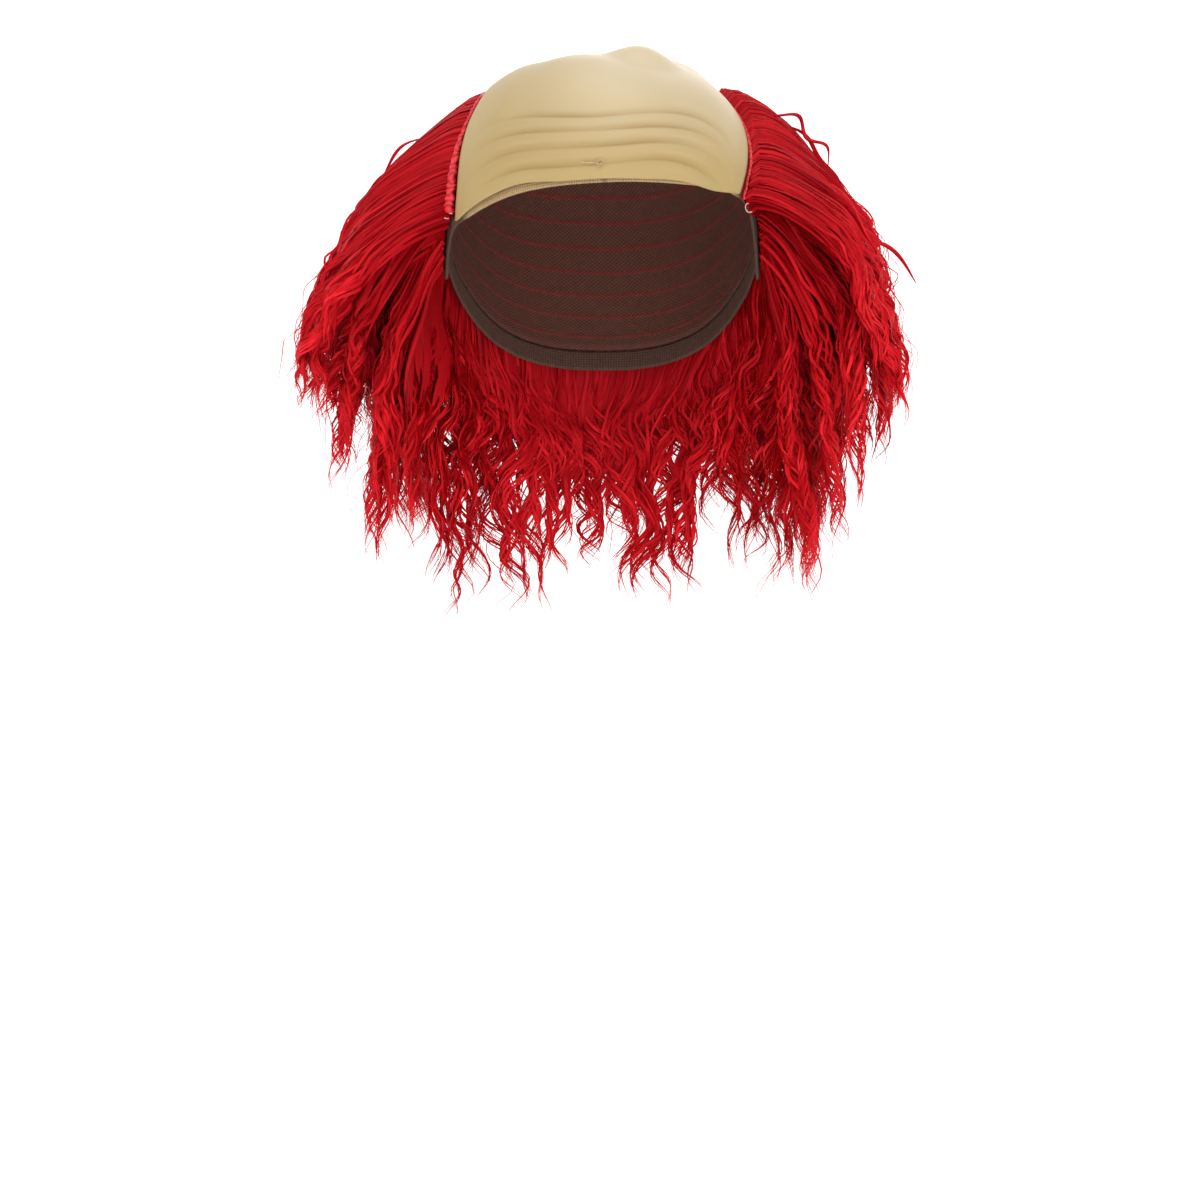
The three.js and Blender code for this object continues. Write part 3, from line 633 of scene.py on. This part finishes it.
front = np.concatenate([on_head(latex_way, latex_rise + LATEX_WALL)[0].reshape(-1, 3), cord.reshape(-1, 3)])
front = front[front[:, 1] < 0]
threads = []
for spot, x, z, wide, tall, start, sweep in THREAD_LINES:
    across, up, stand = THREAD_SPOTS[spot]
    angle = 2 * np.pi * (start + sweep * np.linspace(0, 1, THREAD_STEPS))
    line = np.zeros((THREAD_STEPS, 3))
    line[:, 0], line[:, 2] = across + x + wide * np.cos(angle), up + z + tall * np.sin(angle)
    gap = np.hypot(line[:, None, 0] - front[None, :, 0], line[:, None, 2] - front[None, :, 2])
    line[:, 1] = front[gap.argmin(1), 1].mean() - stand - 0.3 * np.sin(3 * angle)
    threads.append(line)
threads = np.array(threads)
ahead = unit(np.gradient(threads, axis=1))
aside = unit(np.cross(ahead, np.array([0.0, 1.0, 0.0])))
points, faces = tubes(threads, aside * THREAD_RADIUS, np.cross(ahead, aside) * THREAD_RADIUS, THREAD_SIDES)
thread_uv = np.stack([np.tile(np.linspace(0.01, 0.12, THREAD_SIDES), len(threads) * THREAD_STEPS)
                      + np.repeat(np.arange(len(threads)) / len(threads), THREAD_STEPS * THREAD_SIDES),
                      np.tile(np.repeat(np.linspace(0.02, 0.98, THREAD_STEPS), THREAD_SIDES), len(threads))], -1)
tint = np.repeat([1.0 if line[0] else 0.0 for line in THREAD_LINES], THREAD_STEPS * THREAD_SIDES)


def draw_thread(shade):
    """Polyester thread: two twisted plies, tan on the forehead and pale pink on the red."""
    ply = shade.node("UVMap", {"uv_map": "OFBake"}).part(1).wave(14) * 0.5 + 0.5
    pink = shade.node("Attribute", {"attribute_name": "tint"}, out=2)
    tan = ply.blend((0.28, 0.16, 0.055), (0.74, 0.56, 0.34))
    pale = ply.blend((0.55, 0.10, 0.09), (0.90, 0.62, 0.58))
    return {"Base Color": pink.blend(tan, pale), "Roughness": 0.5,
            "Normal": ply.relief(0.4, 0.0002)}


thread = mesh_piece("thread_ends", points, outward(points, faces), finish_of("sewing_thread", draw_thread),
                    thread_uv, {"tint": tint})
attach(thread, "root")


# Hair: bright red plastic fibre, sewn in three rows and crimped. It leaves the seam as a smooth brushed sheet and
# breaks up lower down into waved, pointed locks. Each third of a row is one piece of fine flat strands, gathered
# into small bunches that curl together, round a thin core of packed fibre whose dark colour is painted shade for
# the deep inside of the locks.
HAIR_HALF, FRONT_REACH, BACK_REACH, HAIR_DROP, FRONT_BEARING = 150.0, 118.0, 164.0, 262.0, 76.0
LOCK_THICK, WEFT_THICK, TIP_NOTCH, TIP_PINCH = 17.0, 3.0, 0.24, 0.4
OUTER_SHARE, PARTING_DIP, TAPER_POWER, WAVE_LONG, WAVE_HIGH, COIL = 0.6, 0.55, 2.6, 84.0, 5.0, 0.4
OUT_POWER, DOWN_POWER, PARTING_GAP = 2.1, 1.3, 0.04
TIERS = {  # root, inset, locks, side locks, breadth, depth, fall at the sides, fall at the back, arch
    "upper": (0.02, 0, 17, 5, 1, 1, 0.69, 0.88, 1),
    "middle": (0.4, 0.04, 14, 4, 0.85, 0.83, 0.85, 0.94, 0),
    "lower": (0.82, 0.05, 12, 3, 0.68, 0.69, 1, 1, 0),
}
ARCH_HEIGHTS = [0, 2, 2, 5, 12, 13, 6]  # millimetres that the upper hair arches up, from left to right
TRAITS = np.array([  # reach, drop, turn, phase, size
    (1, 1, 0, 0.1, 1), (0.95, 0.94, 1.5, 0.35, 0.86), (1.02, 1.04, -1, 0.2, 1.06), (0.97, 0.92, 2, 0.5, 0.92),
    (1.01, 1.01, -2, 0.05, 1.08), (0.93, 1.02, 0.5, 0.3, 0.9), (0.98, 0.96, 1, 0.45, 1)])
STRANDS = {  # number of strands and how far they reach, for the left, the back and the right of each row
    "upper": ((1250, 0.98), (1350, 1), (1250, 1.04)),
    "middle": ((740, 1), (850, 1), (740, 1.03)),
    "lower": ((580, 1.07), (760, 1.09), (580, 1.08)),
}
BUNCH, STRAND_STEPS, STRAND_WIDE, FIBRE = 25, 48, 1.4, 0.22
ROOT_STEPS, ROOT_RUN, GATHER_FROM, GATHER_FULL, LONG_SHARE, STRAY_SHARE = 8, 0.26, 0.24, 0.7, 0.68, 0.06
CLEAR_ROOT, CLEAR_FREE, CLEAR_VARIED, CLEAR_FULL = 0.6, 2.2, 1.2, 0.1  # millimetres off the cap, and where full
ROOT_LIFT, ROOT_SPREAD = 0.035, 0.12  # where a row starts above its middle and how far down the cap it spreads
EDGE_LIFT, EDGE_SPREAD, EDGE_LOCKS, ROOT_END = 0.34, 0.36, 3.5, 0.93  # the same near a row's front edges
FILL = 0.9  # how far bunches near a lower row's front edge rise towards the row above


def hair_middle(tier, place, share, root_down):
    """Middle of the hair at a place in its row and a share of the way from root to tip: out by 1 - (1 - s)^p,
    then straight down past the tip, and down by s^q, with a long slow wave."""
    _, inset, locks, _, breadth, depth, side_fall, fall, arch = TIERS[tier]
    along = lerp(inset, 1 - inset, place / locks)
    spot = place - 0.5
    low = np.floor(spot)
    turns = (3 * low + 7 * list(TIERS).index(tier) + 3 * len(TRAITS)).astype(int)
    trait = lerp(TRAITS[turns % 7], TRAITS[(turns + 3) % 7], (spot - low)[..., None])
    reach, drop, turn, phase, size = (trait[..., i] for i in range(5))
    out = heading(lerp(-FRONT_BEARING, FRONT_BEARING - 360, along) + turn, 0)
    back = 1 - smoothstep(np.abs(along - 0.5), 0.1, 0.34)
    swell = lerp(breadth, depth, back) * reach
    span = np.hypot(out[..., 0] / HAIR_HALF, out[..., 1] / np.where(out[..., 1] > 0, BACK_REACH, FRONT_REACH))
    tip = out * (swell / span)[..., None]
    tip[..., 2] = -HAIR_DROP * lerp(side_fall, fall, back) * drop
    root = on_head(on_cap(along, np.broadcast_to(root_down, along.shape)), ON_NET)[0]
    far = length(root - tip)[..., 0]
    angle = 2 * np.pi * (share * far / WAVE_LONG + phase)
    sway = WAVE_HIGH * smoothstep(share, 0.08, 0.4)
    outward_share = 1 - np.maximum(1 - share, 0) ** OUT_POWER
    point = np.concatenate([lerp(root[..., :2], tip[..., :2], outward_share[..., None]),
                            lerp(root[..., 2:], tip[..., 2:], (share**DOWN_POWER)[..., None])], -1)
    point[..., 2] += arch * between(ARCH_HEIGHTS, along) * np.sin(np.pi * np.sqrt(np.clip(share, 0, 1)))
    aside = np.stack([out[..., 1], -out[..., 0], np.zeros_like(along)], -1)
    point = point + aside * (sway * np.sin(angle))[..., None] + out * (COIL * sway * np.cos(angle))[..., None]
    return point, aside, size, far


def rest_on_cap(point, off):
    """Points moved out to the cap where they would sink into it."""
    way = unit(point - HEAD_MIDDLE)
    rest = on_head(way, off)[0]
    sunk = length(point - HEAD_MIDDLE) < length(rest - HEAD_MIDDLE)
    return np.where(sunk, rest, point)


def each(values):
    """Numbers for single strands, as a column."""
    return values[:, None]


def pick(values):
    """Numbers for bunches, as a column with one for each strand."""
    return np.repeat(values, BUNCH, 0)[:, None]


def strands(tier, low, high, many, stretch, rng):
    """Paths of a third of a row's strands, with the tone of each. Strands start evenly along the weft
    and draw together into bunches. A bunch swings from side to side and in and out as it falls, and its outer
    strands stop short of its middle ones, so that it ends in a point."""
    root_at, inset, locks, *_ = TIERS[tier]
    bunches = many // BUNCH
    n = bunches * BUNCH
    s = np.concatenate([np.linspace(0, ROOT_RUN, ROOT_STEPS)[:-1],
                        np.linspace(ROOT_RUN, 1, STRAND_STEPS - ROOT_STEPS + 1)])
    centre = np.sort((np.arange(bunches) + rng.uniform(0.1, 0.9, bunches)) / bunches)
    centre = lerp(low + PARTING_GAP, high - PARTING_GAP, centre)
    depth = rng.uniform(-1, 1, bunches)
    parting = np.abs(2 * (centre % 1) - 1)
    full = rng.random(bunches) < LONG_SHARE
    reach = np.where(full, rng.uniform(0.97, 1.05, bunches), rng.uniform(0.82, 0.98, bunches))
    reach = stretch * (1 - 0.4 * TIP_NOTCH * parting) * reach
    curl_long, curl_high = rng.uniform(22, 40, bunches), rng.uniform(2.2, 4.8, bunches)
    curl_from, curl_turn = rng.uniform(0, 1, bunches), rng.choice([-1, 1], bunches)
    drift, girth = rng.normal(0, 1, (bunches, 2)), rng.uniform(3.0, 5.8, bunches)

    start = (np.arange(n) + rng.uniform(0, 1, n)) / n + rng.normal(0, 1 / bunches, n)
    start = each(lerp(low + PARTING_GAP, high - PARTING_GAP, np.clip(start, 0, 1)))
    turn, spread = each(rng.uniform(0, 2 * np.pi, n)), each(np.sqrt(rng.random(n)))
    own = (1 - 0.16 * spread**1.5 * each(rng.random(n))) * each(rng.uniform(0.95, 1.01, n))
    share = s[None] * pick(reach) * own
    stray = each(rng.random(n) < STRAY_SHARE)
    edge = 1 - smoothstep(np.minimum(start, locks - start), 0, EDGE_LOCKS)
    root_down = root_at - ROOT_LIFT + lerp(ROOT_SPREAD, EDGE_SPREAD, edge) * each(rng.random(n) ** 2)
    root_down = np.minimum(root_down - min(EDGE_LIFT, 0.9 * root_at) * edge * each(rng.random(n)), ROOT_END)
    gathered = smoothstep(share, GATHER_FROM, GATHER_FULL)
    lock = np.floor(pick(centre)) + 0.5
    place = lerp(lerp(start, pick(centre), gathered), lock, TIP_PINCH * 0.5 * smoothstep(share, 0.5, 1))
    point, aside, size, far = hair_middle(tier, place, share, root_down)
    if tier != "upper":
        above = list(TIERS)[list(TIERS).index(tier) - 1]
        along = lerp(inset, 1 - inset, place / locks)
        lifted = FILL * (1 - smoothstep(np.minimum(centre, locks - centre), 0, EDGE_LOCKS)) * rng.random(bunches)
        raised, top_inset, top_locks = pick(lifted), TIERS[above][1], TIERS[above][2]
        over = np.clip((along - top_inset) / (1 - 2 * top_inset), 0, 1) * top_locks
        point = lerp(point, hair_middle(above, over, share, root_down)[0], raised[..., None])
    ahead = np.gradient(point, axis=1)
    normal = unit(np.cross(aside, ahead))
    side = unit(np.cross(ahead, normal))

    swell = smoothstep(share, 0.04, 0.42)
    taper = (1 - PARTING_DIP * (np.abs(2 * (place % 1) - 1)) ** 2) * (1 - 0.85 * share**TAPER_POWER) * size
    outer, inner = lerp(WEFT_THICK, OUTER_SHARE * LOCK_THICK, swell), (1 - OUTER_SHARE) * LOCK_THICK * swell
    off = pick(depth) * np.where(pick(depth) > 0, outer, inner) * taper * smoothstep(share, 0.22, 0.62)
    sheet = lerp(WEFT_THICK, 0.45 * OUTER_SHARE * LOCK_THICK, swell) * (1 - smoothstep(share, 0.3, 0.65))
    off = off + sheet * each(rng.random(n))
    radius = pick(girth) * spread * (1 - 0.96 * s[None] ** 2) * smoothstep(share, 0.05, 0.4)
    wander = 7 * smoothstep(share, 0.35, 1.1) ** 1.5
    angle = 2 * np.pi * (share * far / pick(curl_long) + pick(curl_from)) + each(rng.normal(0, 0.07, n))
    swing = pick(curl_high) * smoothstep(share, 0.2, 0.6) * (0.8 + 0.5 * share) * each(rng.uniform(0.85, 1.15, n))
    crimp = 2 * np.pi * (share * far / each(rng.uniform(15, 21, n)) + each(rng.random(n)))
    crimp_high = each(rng.uniform(0.3, 1.2, n)) * smoothstep(share, 0.15, 0.6)
    crimp_high = crimp_high * (1 - 0.5 * smoothstep(s, 0.6, 1))
    sideways = (radius * np.cos(turn) + wander * pick(drift[:, 0])
                + swing * np.sin(angle) + crimp_high * np.sin(crimp))
    outwards = (off + 0.75 * radius * np.sin(turn) + 0.5 * wander * pick(drift[:, 1])
                + 0.6 * swing * np.cos(angle) * pick(curl_turn) + crimp_high * np.cos(crimp))
    loose = stray * smoothstep(share, 0.25, 1)
    sideways = sideways + loose * each(rng.normal(0, 6, n))
    outwards = np.minimum(outwards + loose * each(np.abs(rng.normal(0, 7, n))), OUTER_SHARE * LOCK_THICK + 6)
    path = point + side * sideways[..., None] + normal * outwards[..., None]
    free = np.minimum(share / CLEAR_FULL, 1) * (CLEAR_FREE + each(rng.uniform(-CLEAR_VARIED, CLEAR_VARIED, n)))
    path = rest_on_cap(path, ON_NET + CLEAR_ROOT + free + each(rng.random(n)))
    tone = np.clip(0.5 + 0.08 * pick(rng.normal(0, 1, bunches)) + 0.18 * each(rng.normal(0, 1, n)), 0, 1)
    face_front = 0.95 * (1 - smoothstep(place, 2.5, 6) - smoothstep(place, locks - 6, locks - 2.5))
    return path, normal, share, s, np.broadcast_to(tone, share.shape), stray, face_front


def ribbons(path, normal, s, stray, face_front, rng):
    """Flat strands along paths: width holds and then closes to a point. The face of each leans its own way and
    turns slowly, and near a row's front edge it leans to the front. Also each edge's count of fibres across."""
    n = len(path)
    ahead = unit(np.gradient(path, axis=1))
    side = unit(np.cross(ahead, normal))
    face = unit(np.cross(side, ahead))
    turns = s[None] * each(rng.uniform(0.5, 2, n)) + each(rng.random(n))
    lean = (each(rng.normal(0, 0.5, n)) + 0.4 * np.sin(2 * np.pi * turns)) * lerp(0.5, 1, smoothstep(s, 0, 0.5))
    lean = lean + face_front
    across = side * np.cos(lean)[..., None] + face * np.sin(lean)[..., None]
    wide = STRAND_WIDE * each(rng.uniform(0.65, 1.3, n)) * np.where(stray, 0.4, 1) * (1 - 0.97 * s**7)
    half = across * (wide / 2)[..., None]
    first = each(np.arange(n) * 9.7)
    fibres = np.stack(np.broadcast_arrays(first, first + wide / FIBRE), 2)
    return np.stack([path - half, path + half], 2), fibres


LOOSE_CURLS = [  # part, start and end (across, back, up), bow and wave in mm, turns of the wave
    (0, (-90, 15, -36), (-111, 12, -57), 4.5, 0.8, 1.0), (0, (-101, 10, -50), (-129, 14, -97), 8, 1.5, 1.5),
    (0, (-112, 16, -78), (-131, 16, -106), 11, 1.2, 1.0), (0, (-118, 8, -70), (-146, 10, -132), 6, 1.6, 2.0),
    (2, (81, 6, -21), (116, 10, -53), 6.4, -3.0, 2.2), (2, (92, 14, -30), (120, 14, -70), 7, 2.0, 1.5),
    (2, (124, 12, -88), (159, 10, -110), 7.2, 1.0, 0.8), (2, (112, 16, -96), (146, 18, -138), 5, 2.2, 1.5),
]
CURL_STRANDS = 12


def loose_curls(part, s, rng):
    """Paths of the curls that stand off the outline: from start to end, bowed outwards by sin(pi s) and waved by
    sin(2 pi n s), as a few strands that part in the middle of their run."""
    paths = []
    for side, start, end, bow, wave, turns in (row for row in LOOSE_CURLS if row[0] == part):
        start, end = np.array(start, float), np.array(end, float)
        run = unit(end - start)
        out = unit(np.cross(run, [0, 1, 0]))
        out = out if out[2] > 0 else -out
        back = np.cross(run, out)
        t = s[None] * rng.uniform(0.85, 1.05, CURL_STRANDS)[:, None]
        push = (bow * np.sin(np.pi * t) + wave * np.sin(2 * np.pi * turns * t)
                + rng.normal(0, 0.45, CURL_STRANDS)[:, None] * np.sin(np.pi * np.clip(t, 0, 1)) ** 0.7)
        deep = wave * np.cos(2 * np.pi * turns * t) + rng.normal(0, 0.6, CURL_STRANDS)[:, None]
        paths.append(lerp(start, end, t[..., None]) + out * push[..., None] + back * deep[..., None])
    return np.concatenate(paths)


def strand_uv(n, steps, s, floor):
    """A strip of the map for each strand, in columns and rows above the floor."""
    columns = int(np.ceil(np.sqrt(n * 12)))
    rows = int(np.ceil(n / columns))
    i = np.arange(n)
    u = ((i % columns)[:, None, None] + np.array([0.12, 0.88])[None, None]) / columns
    v = floor + (1 - floor) * ((i // columns)[:, None, None] + 0.02 + 0.96 * s[None, :, None]) / rows
    return np.stack(np.broadcast_arrays(u, v), -1).reshape(-1, 2)


CORE_ROWS, CORE_COLUMNS, CORE_END, CORE_SHARE, CORE_INSIDE, CORE_MAP = 36, 20, 0.6, 0.4, 0.12, 0.12


def core(tier, low, high):
    """Thin sheet of packed fibre inside the locks of a third of a row, smooth at the weft and ridged lower down,
    with a lower edge in ragged points."""
    columns = CORE_COLUMNS * int(round(high - low)) // 2
    root_at = TIERS[tier][0]
    down, along = np.meshgrid(np.linspace(0, 1, CORE_ROWS + 1), np.linspace(0, 1, columns + 1), indexing="ij")
    place = lerp(low + PARTING_GAP, high - PARTING_GAP, along)
    parting = np.abs(2 * (place % 1) - 1)
    ragged = 0.08 * np.sin(2 * np.pi * place * 3.1) + 0.06 * np.sin(2 * np.pi * place * 7.3 + 1)
    share = down * CORE_END * (1 - 1.2 * TIP_NOTCH * parting + ragged)
    point, aside, size, _ = hair_middle(tier, place, share, np.full_like(place, root_at))
    ahead = np.gradient(point, axis=0)
    normal = unit(np.cross(aside, ahead))
    swell = smoothstep(share, 0.04, 0.42)
    taper = (1 - PARTING_DIP * parting**2) * (1 - 0.97 * down**TAPER_POWER) * size
    ridge = 0.6 * np.sin(2 * np.pi * place * 4.3) * smoothstep(share, 0.15, 0.42)
    walls = []
    inside, outside = (OUTER_SHARE - 1) * LOCK_THICK * swell, lerp(WEFT_THICK, OUTER_SHARE * LOCK_THICK, swell)
    for k, reach in enumerate((CORE_INSIDE * inside, CORE_SHARE * outside)):
        wall = point + normal * (reach * taper + ridge * k)[..., None]
        wall = rest_on_cap(wall, ON_NET + k * 0.8 + 0.3 + np.minimum(share / CLEAR_FULL, 1) * 1.5)
        walls.append(wall.reshape(-1, 3))
    uv = wall_uv(0.01 + 0.48 * along, 0.004 + (CORE_MAP - 0.01) * down, (0.5, 0))
    points = np.concatenate(walls)
    fibres = np.cumsum(np.pad(length(np.diff(point[CORE_ROWS // 2], axis=0))[:, 0], (1, 0))) / FIBRE
    fibres = np.tile(np.broadcast_to(fibres, share.shape).ravel(), 2)
    return points, outward(points, wall_faces(CORE_ROWS, columns)), uv, np.tile(share.ravel(), 2), fibres


def draw_hair(shade):
    """Red fibre: each strand its own tone with fine streaks along it, with painted shade that darkens it towards
    the root and on the core inside the locks.
    """
    tone, along, fibre = (shade.node("Attribute", {"attribute_name": name}, out=2)
                          for name in ("tone", "along", "fibre"))
    patch = shade.node("TexCoord", out=3).noise(38.0, 3.0)
    streak = shade.node("CombineXYZ", None, {0: fibre, 1: along * 9}).noise(1.0, 2.0, 0.6)
    lock = shade.node("CombineXYZ", None, {0: fibre * 0.08, 1: along * 4}).noise(1.0, 1.0)
    # Painted shade: the along ramp darkens the hair over its first part, towards the root.
    share = tone * 0.6 + streak * 0.4 + lock * 0.4 + patch * 0.3 + along.ramp(0.2, 0.6) * 0.34 - 0.58
    colour = shade.node("ValToRGB", {"stops": [
        (0.0, (0.25, 0.001, 0.003)), (0.35, (0.43, 0.004, 0.008)), (0.65, (0.60, 0.008, 0.014)),
        (1.0, (0.80, 0.018, 0.027))]}, {0: share})
    return {"Base Color": colour, "Roughness": 0.45 + streak * 0.2, "Specular IOR Level": 0.2,
            "Specular Tint": (1, 0.25, 0.3),
            "Normal": (streak * 0.6 + lock).relief(0.3, 0.0004)}


hair_finish = finish_of("red_fibre", draw_hair)
for tier, (_, _, locks, side, *_) in TIERS.items():
    edges = [0, side, locks - side, locks]
    for which, part in enumerate(("left", "back", "right")):
        rng = np.random.default_rng(100 * list(TIERS).index(tier) + which)
        low, high = edges[which], edges[which + 1]
        path, normal, share, s, tone, stray, face_front = strands(tier, low, high, *STRANDS[tier][which], rng)
        if tier == "upper" and part != "back":
            curls = loose_curls(which, s, rng)
            path = np.concatenate([path, curls])
            ahead = np.gradient(curls, axis=1)
            normal = np.concatenate([normal, unit(np.cross(np.cross(ahead, [0, -1, 0.3]), ahead))])
            share = np.concatenate([share, np.broadcast_to(lerp(0.3, 1, s), curls.shape[:2])])
            tone = np.concatenate([tone, np.full(curls.shape[:2], 0.5)])
            stray = np.concatenate([stray, np.ones((len(curls), 1), bool)])
            face_front = np.concatenate([face_front, np.zeros(curls.shape[:2])])
        strips, fibres = ribbons(path, normal, s, stray, face_front, rng)
        n, steps = path.shape[:2]
        core_points, core_faces, core_uv, core_share, core_fibres = core(tier, low, high)
        points = np.concatenate([core_points, strips.reshape(-1, 3)])
        one = grid_faces(steps - 1, 1)
        strip_faces = (one[None] + (len(core_points) + np.arange(n) * steps * 2)[:, None, None]).reshape(-1, 4)
        uv = np.concatenate([core_uv, strand_uv(n, steps, s, CORE_MAP)])
        # The core's low tone of 0.12 is painted shade for the deep inside of the locks.
        marks = {"tone": np.concatenate([np.full(len(core_points), 0.12), np.repeat(tone.ravel(), 2)]),
                 "along": np.concatenate([core_share, np.repeat(share.ravel(), 2)]),
                 "fibre": np.concatenate([core_fibres, fibres.ravel()])}
        hair = mesh_piece(f"{tier}_strands_{part}", points, [*core_faces, strip_faces], hair_finish, uv, marks)
        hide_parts(f"{tier}_hair_{part}")
        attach(hair, "root")
